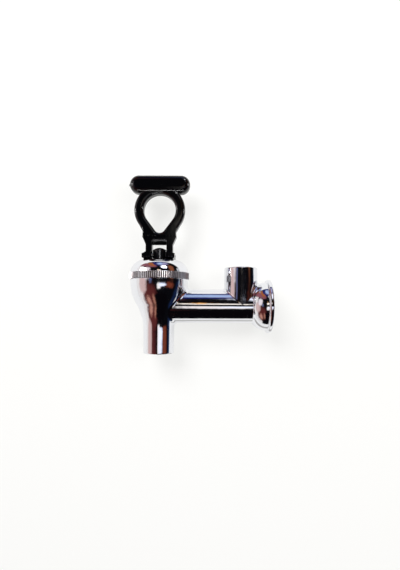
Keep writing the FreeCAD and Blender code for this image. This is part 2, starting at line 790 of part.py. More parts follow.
def build_thumb_bar():
    """Bar across the top of the ring, with the small moulding gate at its left end."""
    body = new_body("thumb_bar")
    bar = new_sketch(body, "XZ_Plane", "bar_outline")
    straight = "(bar_half_length - bar_half_height)"
    low_z, high_z = f"({BAR_CENTRE} - bar_half_height)", f"({BAR_CENTRE} + bar_half_height)"
    outline(bar, [
        (f"-{straight}", low_z, "bar_half_height", -1),
        (straight, low_z),
        ("bar_half_length", BAR_CENTRE, "bar_half_height", -1),
        (straight, high_z, "bar_half_height", -1),
        (f"-{straight}", high_z),
        ("-bar_half_length", BAR_CENTRE, "bar_half_height", -1),
    ])
    solid = pushed(body, "Pad", "bar", bar, "bar_depth", "Symmetric")
    doc.recompute()
    bar_face = value("bar_depth / 2")

    def on_bar_face(edge):
        return near(abs(edge.BoundBox.YMin), bar_face) and near(edge.BoundBox.YMin, edge.BoundBox.YMax)
    rounded(body, solid, "bar_edges", "bar_rounding", on_bar_face)

    gate = new_sketch(body, "YZ_Plane", "gate_outline")
    circle(gate, "0", BAR_CENTRE, "gate_radius")
    pushed(body, "Pad", "gate", gate, "bar_half_length + gate_height", backwards=True)
    return body


def build_finger_ring():
    """Upper half of the handle, moulded in one: the ring and the thumb bar."""
    joined = doc.addObject("Part::MultiFuse", "finger_ring")
    joined.Shapes = [build_ring_loop(), build_thumb_bar()]
    joined.Label = "finger_ring"
    return joined


def build_gauge_seal():
    """Grommet that fills the socket of the boss and grips a glass tube."""
    body = new_body("gauge_glass_seal")
    section = new_sketch(body, "XY_Plane", "outline", "boss_top - socket_depth")
    circle(section, BOSS_X, "0", "socket_radius")
    circle(section, BOSS_X, "0", "seal_bore_radius")
    pushed(body, "Pad", "grommet", section, "seal_height")
    return body


def build_inlet_gasket():
    """Flat ring let into the flange face."""
    body = new_body("inlet_gasket")
    section = new_sketch(body, "XZ_Plane", "outline")
    ring_outline(section, "spout_reach - gasket_thickness", "spout_reach",
                 "gasket_bore_radius", "gasket_rim_radius")
    turned(body, "Revolution", "ring", section, "H_Axis")
    return body


def rounded_corner(start, corner, end):
    """Makes the arc that leaves the start towards the corner and reaches the end from it."""
    middle = start.add(end).multiply(0.5)
    half, rise = start.distanceToPoint(middle), corner.distanceToPoint(middle)
    slope = math.atan2(rise, half)
    bulge = corner.sub(middle).multiply(math.tan(slope / 2) / math.tan(slope))
    return Part.Arc(start, middle.add(bulge), end).toShape()


def arc_pair(start, leaving, end, arriving):
    """Joins two points by two arcs of one handle length that keep the given directions at the ends."""
    span, spread = end.sub(start), leaving.add(arriving)
    turn = 1 - leaving.dot(arriving)
    along = span.dot(spread)
    handle = (math.sqrt(along * along + 2 * turn * span.dot(span)) - along) / (2 * turn)
    first = start.add(FreeCAD.Vector(leaving).multiply(handle))
    second = end.sub(FreeCAD.Vector(arriving).multiply(handle))
    joint = first.add(second).multiply(0.5)
    return [rounded_corner(start, first, joint), rounded_corner(joint, second, end)]


def coil_path(radius, height, turns):
    """Winds a wire path of quarter turns about Z, rising evenly, and measures how near it comes to itself."""
    count = round(turns * QUARTERS)
    sweep = 2 * math.pi * turns
    points, directions = [], []
    for step in range(count + 1):
        angle = sweep * step / count
        points.append(FreeCAD.Vector(radius * math.cos(angle), radius * math.sin(angle), height * step / count))
        across = radius * sweep
        ahead = FreeCAD.Vector(-across * math.sin(angle), across * math.cos(angle), height)
        directions.append(ahead.normalize())
    edges = []
    for step in range(count):
        edges += arc_pair(points[step], directions[step], points[step + 1], directions[step + 1])
    apart = [start.distanceToPoint(end) for start, end in zip(points, points[QUARTERS:])]
    return Part.Wire(edges), min(apart)


def build_return_spring():
    """Compression spring between the washer and the bush, one unbroken wire."""
    start = f"({WASHER_TOP} + stack_gap + wire_radius)"
    height = value(f"{BUSH_FOOT} - stack_gap - wire_radius - {start}")
    path = doc.addObject("Part::Feature", "spring_path")
    path.Shape, apart = coil_path(value("coil_radius"), height, value("coil_turns"))
    print(f"return_spring: least gap between turns {apart - 2 * value('wire_radius'):.2f} mm")
    wire = doc.addObject("Part::Circle", "spring_wire")
    wire.setExpression("Radius", tied("wire_radius"))
    wire.setExpression("Placement.Base.x", tied("coil_radius"))
    upright = FreeCAD.Rotation(FreeCAD.Vector(0, 0, 1), path.Shape.Edges[0].tangentAt(0))
    wire.Placement = FreeCAD.Placement(FreeCAD.Vector(value("coil_radius"), 0, 0), upright)
    spring = doc.addObject("Part::Sweep", "return_spring")
    spring.Sections = [wire]
    spring.Spine = (path, [f"Edge{number + 1}" for number in range(len(path.Shape.Edges))])
    spring.Solid = True
    spring.Label = "return_spring"
    spring.setExpression("Placement.Base.x", tied("-spout_reach"))
    spring.setExpression("Placement.Base.z", tied(start))
    return spring


def build_all():
    """Builds every piece in the order of assembly."""
    pieces = [build_tap_body(), build_bonnet(), *build_turned_rings(), build_guide_bush(), build_seat_cup()]
    pieces += [build_return_spring(), build_stem(), build_pivot_pin(), build_cam_fork(), build_finger_ring()]
    pieces += [build_gauge_seal(), build_inlet_gasket()]
    return pieces


def check(pieces):
    """Stops the build if any object failed or any piece isn't one valid solid."""
    for item in doc.Objects:
        if "Invalid" in item.State or "Error" in item.State:
            raise RuntimeError(f"{item.Label} failed to build")
    for piece in pieces:
        if piece.Shape.isNull() or not piece.Shape.isValid() or len(piece.Shape.Solids) != 1:
            raise RuntimeError(f"{piece.Label} isn't one valid solid")


built = build_all()
doc.recompute()
check(built)
os.makedirs("parts", exist_ok=True)
for piece in built:
    piece.Shape.exportStep(f"parts/{piece.Label}.step")
    print(f"{piece.Label}: {piece.Shape.Volume:.1f} cubic millimetres")
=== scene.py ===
"""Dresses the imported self-closing tap and lights it like a product laid on a white table.

The scene is in metres and in the part's own frame: the origin is the centre of the flange's face, +X points
out of the inlet and +Z up the spout axis. The tap lies on its far side, so the table is an upright plane.
The pieces and their finishes hold their sizes in millimetres, and the stage holds its own in metres.
"""

from __future__ import annotations

import logging
import math
from dataclasses import dataclass, field
from enum import Enum
from typing import Any

import bmesh
import bpy
from mathutils import Matrix, Vector

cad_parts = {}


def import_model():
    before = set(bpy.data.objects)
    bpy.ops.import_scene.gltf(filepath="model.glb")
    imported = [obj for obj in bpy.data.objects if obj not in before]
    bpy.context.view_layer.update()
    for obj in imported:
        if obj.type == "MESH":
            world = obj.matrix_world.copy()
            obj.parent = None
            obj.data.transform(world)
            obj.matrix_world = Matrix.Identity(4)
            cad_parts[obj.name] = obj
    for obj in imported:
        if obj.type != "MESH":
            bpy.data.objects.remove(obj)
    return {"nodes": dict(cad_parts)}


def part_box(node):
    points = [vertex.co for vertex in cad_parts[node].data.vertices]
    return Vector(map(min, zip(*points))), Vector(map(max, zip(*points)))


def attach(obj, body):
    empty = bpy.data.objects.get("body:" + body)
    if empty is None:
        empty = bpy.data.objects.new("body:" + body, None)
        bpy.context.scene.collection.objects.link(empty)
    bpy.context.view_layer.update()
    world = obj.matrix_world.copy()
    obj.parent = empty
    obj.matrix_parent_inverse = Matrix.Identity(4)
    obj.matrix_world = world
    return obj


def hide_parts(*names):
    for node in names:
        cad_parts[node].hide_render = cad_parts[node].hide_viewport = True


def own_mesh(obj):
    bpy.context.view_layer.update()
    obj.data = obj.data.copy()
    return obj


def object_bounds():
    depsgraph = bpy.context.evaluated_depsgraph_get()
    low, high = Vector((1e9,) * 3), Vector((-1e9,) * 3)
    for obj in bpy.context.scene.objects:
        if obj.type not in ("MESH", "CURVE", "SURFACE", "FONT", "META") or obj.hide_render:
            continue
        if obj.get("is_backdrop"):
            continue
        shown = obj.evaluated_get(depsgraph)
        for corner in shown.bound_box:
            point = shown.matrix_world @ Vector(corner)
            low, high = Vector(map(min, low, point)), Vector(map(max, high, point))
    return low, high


LOG = logging.getLogger("tap")
MM = 0.001
SHARP_EDGE = math.radians(38)
WELD_MM = 0.001
BEVEL_SAMPLES = 6
CORNERS = ((-1, -1), (1, -1), (1, 1), (-1, 1))


def linear(colour: str) -> tuple[float, float, float, float]:
    """Turns an sRGB colour into Blender's linear one.

    Args:
        colour: The colour as a hex value, such as "#c8cad0".

    Returns:
        Red, green, blue and an alpha of 1.
    """
    shares = [int(colour[start:start + 2], 16) / 255 for start in (1, 3, 5)]
    red, green, blue = (s / 12.92 if s <= 0.04045 else ((s + 0.055) / 1.055) ** 2.4 for s in shares)
    return red, green, blue, 1.0


def add_node(tree: bpy.types.NodeTree, kind: str, settings: dict[str, Any] | None = None,
             inputs: dict[str | int, Any] | None = None) -> bpy.types.Node:
    """Adds a node with its settings and links.

    Args:
        tree: The node tree that takes the node.
        kind: The node's type name.
        settings: The node's properties by name.
        inputs: The node's inputs by name or number, each a value or the socket that feeds it.

    Returns:
        The new node.
    """
    node = tree.nodes.new(kind)
    for name, setting in (settings or {}).items():
        setattr(node, name, setting)
    for name, source in (inputs or {}).items():
        if isinstance(source, bpy.types.NodeSocket):
            tree.links.new(source, node.inputs[name])
        else:
            node.inputs[name].default_value = source
    return node


def calculate(tree: bpy.types.NodeTree, operation: str, first: bpy.types.NodeSocket | float,
              second: bpy.types.NodeSocket | float = 0.0) -> bpy.types.NodeSocket:
    """Adds a calculation with one or two numbers.

    Args:
        tree: The node tree that takes it.
        operation: What is calculated, such as "MULTIPLY".
        first: The first number, or the socket that gives it.
        second: The second one, where the operation needs it.

    Returns:
        The socket that gives the result.
    """
    return add_node(tree, "ShaderNodeMath", {"operation": operation}, {0: first, 1: second}).outputs[0]


class Axis(Enum):
    """The lines that pieces are turned about, each named by a node that is centred on it."""

    SPOUT = "spring_washer"
    BOSS = "gauge_glass_seal"
    INLET = "inlet_gasket"

    def placing(self) -> Matrix:
        """Gives the move that takes the lathe's Z axis to this line."""
        if self is Axis.INLET:
            return Matrix.Rotation(math.radians(90), 4, "Y")
        low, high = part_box(self.value)
        return Matrix.Translation(((low.x + high.x) / 2, 0.0, 0.0))


def add_piece(name: str, points: list[tuple[float, float, float]], faces: list[tuple[int, ...]],
              axis: Axis) -> bpy.types.Object:
    """Makes a smooth mesh from points round the lathe's Z axis.

    Args:
        name: The piece's name.
        points: The points, in millimetres.
        faces: The faces, each by its points' numbers.
        axis: The line that the Z axis goes to.

    Returns:
        The piece, in place.
    """
    placing = axis.placing()
    mesh = bpy.data.meshes.new(name)
    mesh.from_pydata([placing @ (Vector(point) * MM) for point in points], [], faces)
    shape = bmesh.new()
    shape.from_mesh(mesh)
    bmesh.ops.remove_doubles(shape, verts=shape.verts, dist=WELD_MM * MM)
    bmesh.ops.recalc_face_normals(shape, faces=shape.faces)
    shape.to_mesh(mesh)
    shape.free()
    mesh.polygons.foreach_set("use_smooth", [True] * len(mesh.polygons))
    mesh.set_sharp_from_angle(angle=SHARP_EDGE)
    piece = bpy.data.objects.new(name, mesh)
    bpy.context.scene.collection.objects.link(piece)
    return piece


def rounded(corners: list[tuple[float, float, float]], steps: int = 5) -> list[tuple[float, float]]:
    """Rounds the corners of a closed outline.

    Args:
        corners: Each corner's radius and level, and how far from it the rounding starts.
        steps: How many points each rounded corner becomes.

    Returns:
        The outline's points.
    """
    outline: list[tuple[float, float]] = []
    for number, (radius, level, cut) in enumerate(corners):
        corner = Vector((radius, level))
        if not cut:
            outline.append((radius, level))
            continue
        before = Vector(corners[number - 1][:2])
        after = Vector(corners[(number + 1) % len(corners)][:2])
        start = corner + (before - corner).normalized() * cut
        end = corner + (after - corner).normalized() * cut
        for step in range(steps + 1):
            share = step / steps
            point = start * (1 - share) ** 2 + corner * 2 * share * (1 - share) + end * share ** 2
            outline.append((point.x, point.y))
    return outline


def turned(name: str, outline: list[tuple[float, float]], axis: Axis, steps: int = 96) -> bpy.types.Object:
    """Turns a closed outline about an axis.

    Args:
        name: The piece's name.
        outline: The outline's points, each a radius and a level.
        axis: The line that it is turned about.
        steps: How many faces go round.

    Returns:
        The turned piece.
    """
    points, faces = [], []
    count = len(outline)
    for step in range(steps):
        angle = 2 * math.pi * step / steps
        points += [(radius * math.cos(angle), radius * math.sin(angle), level) for radius, level in outline]
        here, there = step * count, (step + 1) % steps * count
        for number in range(count):
            following = (number + 1) % count
            faces.append((here + number, here + following, there + following, there + number))
    return add_piece(name, points, faces, axis)


def wound(name: str, rings: list[tuple[float, float, float, float]], axis: Axis,
          sides: int) -> bpy.types.Object:
    """Winds a wire about an axis.

    Args:
        name: The piece's name.
        rings: The wire's rings in order, each an angle, a radius, a level and the wire's own radius.
        axis: The line that it winds round.
        sides: How many sides the wire has.

    Returns:
        The wound piece, closed at both ends.
    """
    points, faces = [], []
    for number, (angle, radius, level, wire) in enumerate(rings):
        outward = Vector((math.cos(angle), math.sin(angle), 0))
        for side in range(sides):
            turn = 2 * math.pi * side / sides
            point = outward * (radius + wire * math.cos(turn))
            point.z = level + wire * math.sin(turn)
            points.append(tuple(point))
            if number:
                here, back = number * sides, (number - 1) * sides
                following = (side + 1) % sides
                faces.append((back + side, back + following, here + following, here + side))
    faces.append(tuple(range(sides)))
    faces.append(tuple(range(len(points) - sides, len(points))))
    return add_piece(name, points, faces, axis)


@dataclass(frozen=True)
class Finish:
    """A real material and the way its surface was made."""

    name: str
    colour: str
    roughness: float
    metallic: float = 0.0
    ior: float = 1.5

    def material(self) -> bpy.types.Material:
        """Makes the material.

        Returns:
            A material whose shader carries this finish and its pattern.
        """
        made = bpy.data.materials.new(self.name)
        made.use_nodes = True
        tree = made.node_tree
        shader = tree.nodes["Principled BSDF"]
        shader.inputs["Base Color"].default_value = linear(self.colour)
        shader.inputs["Roughness"].default_value = self.roughness
        shader.inputs["Metallic"].default_value = self.metallic
        shader.inputs["IOR"].default_value = self.ior
        self.pattern(tree, shader)
        return made

    def pattern(self, tree: bpy.types.NodeTree, shader: bpy.types.Node) -> None:
        """Adds what varies over the surface. A plain finish has nothing."""

    @staticmethod
    def place(tree: bpy.types.NodeTree) -> bpy.types.NodeSocket:
        """Gives the place on the piece, in metres."""
        return add_node(tree, "ShaderNodeTexCoord").outputs["Object"]

    @staticmethod
    def noise(tree: bpy.types.NodeTree, place: bpy.types.NodeSocket, size_mm: float,
              detail: float = 2.0) -> bpy.types.NodeSocket:
        """Makes a noise whose grains are of a real size.

        Args:
            tree: The material's node tree.
            place: The place to read it at.
            size_mm: The size of a grain, in millimetres.
            detail: How many finer layers it has.

        Returns:
            The noise, from 0 to 1.
        """
        grains = add_node(tree, "ShaderNodeTexNoise", {"noise_dimensions": "3D"},
                          {"Vector": place, "Scale": 1 / (size_mm * MM), "Detail": detail})
        return grains.outputs[0]

    @staticmethod
    def spread(tree: bpy.types.NodeTree, value: bpy.types.NodeSocket, low: float, high: float,
               start: float = 0.3, end: float = 0.7) -> bpy.types.NodeSocket:
        """Stretches a share of 0 to 1 over a range.

        Args:
            tree: The material's node tree.
            value: The share.
            low: What the start of it becomes.
            high: What the end of it becomes.
            start: The share that becomes low.
            end: The share that becomes high.

        Returns:
            The stretched value.
        """
        node = add_node(tree, "ShaderNodeMapRange", {},
                        {"Value": value, "From Min": start, "From Max": end, "To Min": low, "To Max": high})
        return node.outputs[0]

    def vary(self, tree: bpy.types.NodeTree, shader: bpy.types.Node, grain: bpy.types.NodeSocket,
             shares: tuple[float, float]) -> None:
        """Lets the roughness follow a noise.

        Args:
            tree: The material's node tree.
            shader: The surface shader.
            grain: The noise, from 0 to 1.
            shares: The least and the most of the finish's roughness that a spot has.
        """
        least, most = (self.roughness * share for share in shares)
        tree.links.new(self.spread(tree, grain, least, most), shader.inputs["Roughness"])

    @staticmethod
    def relief(tree: bpy.types.NodeTree, shader: bpy.types.Node, height: bpy.types.NodeSocket,
               depth_mm: float, edge: float | bpy.types.NodeSocket = 0.0) -> None:
        """Gives the surface a relief, over edges broken to a small radius.

        Args:
            tree: The material's node tree.
            shader: The surface shader.
            height: The relief, from 0 to 1.
            depth_mm: How deep the relief is, in millimetres.
            edge: The radius that sharp edges catch light at, in metres, or the socket that gives it.
        """
        inputs: dict[str | int, Any] = {"Strength": 1.0, "Distance": depth_mm * MM, "Height": height}
        if edge:
            bevel = add_node(tree, "ShaderNodeBevel", {"samples": BEVEL_SAMPLES}, {"Radius": edge})
            inputs["Normal"] = bevel.outputs[0]
        bump = add_node(tree, "ShaderNodeBump", {}, inputs)
        tree.links.new(bump.outputs[0], shader.inputs["Normal"])


@dataclass(frozen=True)
class PolishedChrome(Finish):
    """Chrome plate on cast and buffed brass: a bright mirror, whose long soft waves bend what it mirrors."""

    name: str = "polished_chrome_plate"
    colour: str = "#e9eaee"
    roughness: float = 0.07
    metallic: float = 1.0
    wave_mm: float = 5.0
    wave_depth_mm: float = 0.055
    wave_detail: float = 1.0
    haze_mm: float = 0.6
    haze_detail: float = 3.0
    haze_shares: tuple[float, float] = (0.7, 1.6)
    edge_mm: float = 0.25

    def pattern(self, tree: bpy.types.NodeTree, shader: bpy.types.Node) -> None:
        """Adds the waves left by buffing and a faint haze."""
        place = self.place(tree)
        waves = self.noise(tree, place, self.wave_mm, self.wave_detail)
        haze = self.noise(tree, place, self.haze_mm, self.haze_detail)
        self.vary(tree, shader, haze, self.haze_shares)
        self.relief(tree, shader, waves, self.wave_depth_mm, self.edge_mm * MM)


@dataclass(frozen=True)
class KnurledChrome(PolishedChrome):
    """Chrome plate over a turned cap: a mirror on the dome, satin on the ribs that a wheel pressed.

    The band of ribs lies between two levels and between two radii. Its grooves are duller, and darker than
    the rest of the plate with painted shade and a little dirt.
    """

    name: str = "knurled_chrome_plate"
    knurl_roughness: float = 0.4
    knurl_low_mm: float = 13.4
    knurl_high_mm: float = 16.65
    knurl_inner_mm: float = 14.5
    knurl_outer_mm: float = 15.0
    knurl_edge_mm: float = 0.01
    groove_shade_fade_mm: float = 0.1
    # Painted shade, with a little dirt, at the bottom of the grooves.
    groove_shade_and_dirt_colour: str = "#4d4945"

    def on_knurl(self, tree: bpy.types.NodeTree,
                 place: bpy.types.NodeSocket) -> tuple[bpy.types.NodeSocket, bpy.types.NodeSocket]:
        """Tells the knurled band from the rest by its place on the cap.

        Args:
            tree: The material's node tree.
            place: The place on the piece.

        Returns:
            1 on the band and 0 elsewhere, and how far the place is from the axis.
        """
        axis = Axis.SPOUT.placing().translation
        apart = add_node(tree, "ShaderNodeVectorMath", {"operation": "SUBTRACT"}, {0: place, 1: tuple(axis)})
        flat = add_node(tree, "ShaderNodeVectorMath", {"operation": "MULTIPLY"},
                        {0: apart.outputs[0], 1: (1, 1, 0)})
        length = add_node(tree, "ShaderNodeVectorMath", {"operation": "LENGTH"}, {0: flat.outputs[0]})
        radius = length.outputs["Value"]
        level = add_node(tree, "ShaderNodeSeparateXYZ", {}, {0: place}).outputs["Z"]
        tests = [("GREATER_THAN", radius, self.knurl_inner_mm),
                 ("GREATER_THAN", level, self.knurl_low_mm), ("LESS_THAN", level, self.knurl_high_mm)]
        share: bpy.types.NodeSocket | float = 1.0
        for operation, value, limit in tests:
            share = calculate(tree, "MULTIPLY", share, calculate(tree, operation, value, limit * MM))
        return share, radius

    def pattern(self, tree: bpy.types.NodeTree, shader: bpy.types.Node) -> None:
        """Adds the waves on the dome, keeps the ribs crisp and satin, and darkens the grooves with painted
        shade and dirt.
        """
        place = self.place(tree)
        band, radius = self.on_knurl(tree, place)
        waves = self.noise(tree, place, self.wave_mm, self.wave_detail)
        roughness = self.spread(tree, band, self.roughness, self.knurl_roughness, 0, 1)
        tree.links.new(roughness, shader.inputs["Roughness"])
        deepest = (self.knurl_inner_mm + self.groove_shade_fade_mm) * MM
        highest = (self.knurl_outer_mm - self.groove_shade_fade_mm) * MM
        # Painted shade and a little dirt darken each spot by how deep in a groove it lies.
        groove_shade_and_dirt = calculate(tree, "MULTIPLY", band, self.spread(tree, radius, 1, 0, deepest, highest))
        plate = add_node(tree, "ShaderNodeMix", {"data_type": "RGBA"},
                         {"Factor": groove_shade_and_dirt, "A": linear(self.colour), "B": linear(self.groove_shade_and_dirt_colour)})
        tree.links.new(plate.outputs["Result"], shader.inputs["Base Color"])
        edge = self.spread(tree, band, self.edge_mm * MM, self.knurl_edge_mm * MM, 0, 1)
        self.relief(tree, shader, waves, self.wave_depth_mm, edge)


@dataclass(frozen=True)
class MouldedAbs(Finish):
    """Black ABS from a polished mould: a hard gloss with small sharp highlights and shallow sink marks."""

    name: str = "moulded_black_abs"
    colour: str = "#030304"
    roughness: float = 0.07
    sink_mm: float = 5.0
    sink_depth_mm: float = 0.03
    wear_mm: float = 0.5
    wear_detail: float = 4.0
    wear_shares: tuple[float, float] = (0.8, 1.5)
    edge_mm: float = 0.4

    def pattern(self, tree: bpy.types.NodeTree, shader: bpy.types.Node) -> None:
        """Adds the sink marks and the fine wear that breaks up the gloss."""
        place = self.place(tree)
        sinks = self.noise(tree, place, self.sink_mm)
        wear = self.noise(tree, place, self.wear_mm, self.wear_detail)
        self.vary(tree, shader, wear, self.wear_shares)
        self.relief(tree, shader, sinks, self.sink_depth_mm, self.edge_mm * MM)


@dataclass(frozen=True)
class TurnedStock(Finish):
    """Bar stock turned on a lathe: fine rings across the axis, which spread its highlights lengthways."""

    ring_mm: float = 0.12
    ring_depth_mm: float = 0.002
    ring_wobble: float = 0.6
    edge_mm: float = 0.15

    def pattern(self, tree: bpy.types.NodeTree, shader: bpy.types.Node) -> None:
        """Adds the tool's rings. At a scale of 1, a wave texture repeats every pi / 10 metres."""
        scale = math.pi / 10 / (self.ring_mm * MM)
        rings = add_node(tree, "ShaderNodeTexWave",
                         {"wave_type": "BANDS", "bands_direction": "Z", "wave_profile": "SIN"},
                         {"Vector": self.place(tree), "Scale": scale, "Distortion": self.ring_wobble,
                          "Detail": 2.0})
        self.relief(tree, shader, rings.outputs["Fac"], self.ring_depth_mm, self.edge_mm * MM)


@dataclass(frozen=True)
class DrawnSteel(Finish):
    """Stainless wire and strip, drawn or ground: a satin metal with faint streaks."""

    name: str = "drawn_stainless_steel"
    colour: str = "#b9b8b4"
    roughness: float = 0.28
    metallic: float = 1.0
    streak_mm: float = 0.4
    streak_detail: float = 4.0
    streak_depth_mm: float = 0.003
    streak_shares: tuple[float, float] = (0.7, 1.4)

    def pattern(self, tree: bpy.types.NodeTree, shader: bpy.types.Node) -> None:
        """Adds the streaks."""
        streaks = self.noise(tree, self.place(tree), self.streak_mm, self.streak_detail)
        self.vary(tree, shader, streaks, self.streak_shares)
        self.relief(tree, shader, streaks, self.streak_depth_mm)


@dataclass(frozen=True)
class MouldedRubber(Finish):
    """Silicone or rubber from a blasted mould: soft, dull, with a fine even grain."""

    grain_mm: float = 0.25
    grain_depth_mm: float = 0.01
    grain_detail: float = 3.0
    softness: float = 0.2
    light_depth_mm: float = 1.5
    light_shares: tuple[float, float, float] = (1.0, 0.9, 0.8)

    def pattern(self, tree: bpy.types.NodeTree, shader: bpy.types.Node) -> None:
        """Adds the mould's grain and lets a little light into the surface."""
        shader.inputs["Subsurface Weight"].default_value = self.softness
        shader.inputs["Subsurface Radius"].default_value = self.light_shares
        shader.inputs["Subsurface Scale"].default_value = self.light_depth_mm * MM
        grain = self.noise(tree, self.place(tree), self.grain_mm, self.grain_detail)
        self.relief(tree, shader, grain, self.grain_depth_mm)


SILICONE = MouldedRubber("moulded_silicone", "#d9d6cd", 0.45, 0.0, 1.41)


def dress(piece: bpy.types.Object, finish: Finish) -> None:
    """Gives a piece one finish all over, which pieces of the same finish share.

    Args:
        piece: The piece.
        finish: The finish.
    """
    material = bpy.data.materials.get(finish.name) or finish.material()
    if not piece.data.materials:
        piece.data.materials.append(material)
    for slot in piece.material_slots:
        slot.material = material
    LOG.info("%s is %s", piece.name, finish.name)


@dataclass
class SubAssembly:
    """Some of the tap's pieces that are built and dressed together."""

    nodes: dict[str, bpy.types.Object]

    def keep(self, name: str, finish: Finish) -> None:
        """Dresses a node whose shape is right."""
        dress(self.nodes[name], finish)

    def stand_for(self, piece: bpy.types.Object, node: str, body: str, slot: str, finish: Finish) -> None:
        """Dresses a new piece and puts it in a node's place.

        Args:
            piece: The new piece.
            node: The node that it replaces.
            body: The body that it rides on.
            slot: Not used.
            finish: Its finish.
        """
        dress(piece, finish)
        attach(piece, body)
        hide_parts(node)


@dataclass
class Casting(SubAssembly):
    """The plated casting, with the thread in its inlet."""

    thread_radius: float = 5.95
    thread_pitch: float = 1.337
    thread_crest: float = 0.4
    thread_end_share: float = 0.1
    thread_sides: int = 4
    thread_start: float = 1.0
    thread_length: float = 6.2
    steps: int = 40

    def build(self) -> None:
        """Dresses the casting and cuts its thread."""
        self.keep("tap_body", PolishedChrome())
        thread = self.thread()
        dress(thread, PolishedChrome())
        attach(thread, "tap")

    def thread(self) -> bpy.types.Object:
        """Winds the thread's ridge, which fades out over half a turn at both ends.

        Returns:
            The ridge.
        """
        turns = self.thread_length / self.thread_pitch
        count = round(turns * self.steps)
        rings = []
        for step in range(count + 1):
            full = min(1.0, 2 * step / self.steps, 2 * (count - step) / self.steps)
            level = -self.thread_start - self.thread_length * step / count
            crest = self.thread_crest * (self.thread_end_share + (1 - self.thread_end_share) * full)
            rings.append((2 * math.pi * turns * step / count, self.thread_radius, level, crest))
        return wound("inlet_thread_ridge", rings, Axis.INLET, self.thread_sides)


@dataclass
class Bonnet(SubAssembly):
    """The knurled cap with its bush and clamp ring."""

    def build(self) -> None:
        """Dresses the cap, the bush and the ring."""
        self.keep("bonnet", KnurledChrome())
        self.keep("stem_guide_bush", TurnedStock("turned_white_nylon", "#e4e1d8", 0.42, 0.0, 1.53))
        self.keep("cup_clamp_ring", TurnedStock("turned_brass", "#c9a24f", 0.2, 1.0))


@dataclass
class Valve(SubAssembly):
    """The stem, its spring and washer, and the silicone cup that closes on the seat.

    The cup's outlines are written corner by corner: a radius, a level and the cut that rounds the corner.
    """

    lift: float = 3.25
    wire: float = 0.45
    wire_sides: int = 12
    coil_radius: float = 5.5
    coil_turns: float = 6.5
    coil_anchor_gap: float = 0.05
    closed_pitch: float = 0.94
    steps: int = 36
    cup_anchor: float = 6.0
    wall_foot: float = -2.8
    socket_radius: float = 3.1
    socket_level: float = -2.6
    socket_steps: int = 16
    neck_radius: float = 2.3

    def build(self) -> None:
        """Dresses the stem and the washer, winds the spring and moulds the cup."""
        self.keep("stem", TurnedStock("turned_black_acetal", "#050506", 0.2, 0.0, 1.48))
        self.keep("spring_washer", DrawnSteel())
        low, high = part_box("return_spring")
        spring = self.spring(low.z / MM + self.wire, high.z / MM - self.wire)
        self.stand_for(spring, "return_spring", "tap", "spring_steel", DrawnSteel())
        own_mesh(spring)
        self.stand_for(self.cup_rim(), "seat_cup", "tap", "silicone", SILICONE)
        self.stand_for(self.cup_nose(), "seat_cup", "lift", "silicone", SILICONE)
        wall = self.cup_wall()
        self.stand_for(wall, "seat_cup", "tap", "silicone", SILICONE)
        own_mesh(wall)

    def spring(self, low: float, high: float) -> bpy.types.Object:
        """Winds the spring, with a closed turn at each end that runs softly into the open ones.

        Args:
            low: The lowest level of the wire's middle, in millimetres.
            high: The highest level of it.

        Returns:
            The spring.
        """
        count = round(self.coil_turns * self.steps)
        pitch = (high - low - 2 * self.closed_pitch) / (self.coil_turns - 2)
        levels = []
        for step in range(count + 1):
            turn = step / self.steps
            closed = min(turn, 1.0) + max(turn - self.coil_turns + 1.0, 0.0)
            levels.append(low + closed * self.closed_pitch + (turn - closed) * pitch)
        fifth_of_turn = self.steps // 5
        rings = []
        for step in range(count + 1):
            window = min(fifth_of_turn, step, count - step)
            level = sum(levels[step - window:step + window + 1]) / (2 * window + 1)
            rings.append((2 * math.pi * step / self.steps, self.coil_radius, level, self.wire))
        return wound("spring_coils", rings, Axis.SPOUT, self.wire_sides)

    def cup_rim(self) -> bpy.types.Object:
        """Moulds the cup's clamped rim, with a sealing bead above and below."""
        return turned("cup_rim", rounded([
            (7.65, 6.0, 0.2), (9.6, 6.15, 0), (10.2, 6.0, 0.3), (10.8, 6.15, 0), (11.7, 6.05, 0.3),
            (11.7, 7.55, 0.3), (10.8, 7.45, 0), (10.2, 7.6, 0.3), (9.6, 7.45, 0), (7.65, 7.6, 0.4),
        ]), Axis.SPOUT)

    def cup_wall(self) -> bpy.types.Object:
        """Moulds the bell between the rim and the nose, whose height the stem takes up."""
        return turned("cup_wall", rounded([
            (5.3, self.wall_foot + 0.1, 0), (6.3, -1.3, 0.6), (8.85, 3.9, 1.2), (8.85, 6.1, 0.1),
            (7.65, 6.1, 0.1), (7.65, 4.4, 1.0), (5.6, 0.4, 0.6), (5.6, -1.6, 0.3), (5.3, -2.1, 0),
        ]), Axis.SPOUT)

    def cup_nose(self) -> bpy.types.Object:
        """Moulds the nose that grips the stem's ball and closes the seat."""
        outline = rounded([
            (0.0, -7.5, 0), (3.6, -7.5, 0.5), (4.2, -6.2, 0.1), (5.5, -6.2, 0.3), (5.5, 1.55, 0.5),
            (self.neck_radius, 1.55, 0.4),
        ])
        mouth = math.sqrt(self.socket_radius ** 2 - self.neck_radius ** 2)
        start = math.atan2(mouth, self.neck_radius)
        for step in range(self.socket_steps + 1):
            angle = start - (start + math.pi / 2) * step / self.socket_steps
            radius = max(self.socket_radius * math.cos(angle), 0.0)
            outline.append((radius, self.socket_level + self.socket_radius * math.sin(angle)))
        return turned("cup_nose", outline, Axis.SPOUT)


@dataclass
class Handle(SubAssembly):
    """The moulded handle: fork, finger ring and the pin they tilt on."""

    def build(self) -> None:
        """Dresses the fork, the ring and the pin."""
        for name in ("cam_fork", "finger_ring"):
            self.keep(name, MouldedAbs())
        self.keep("pivot_pin", DrawnSteel())


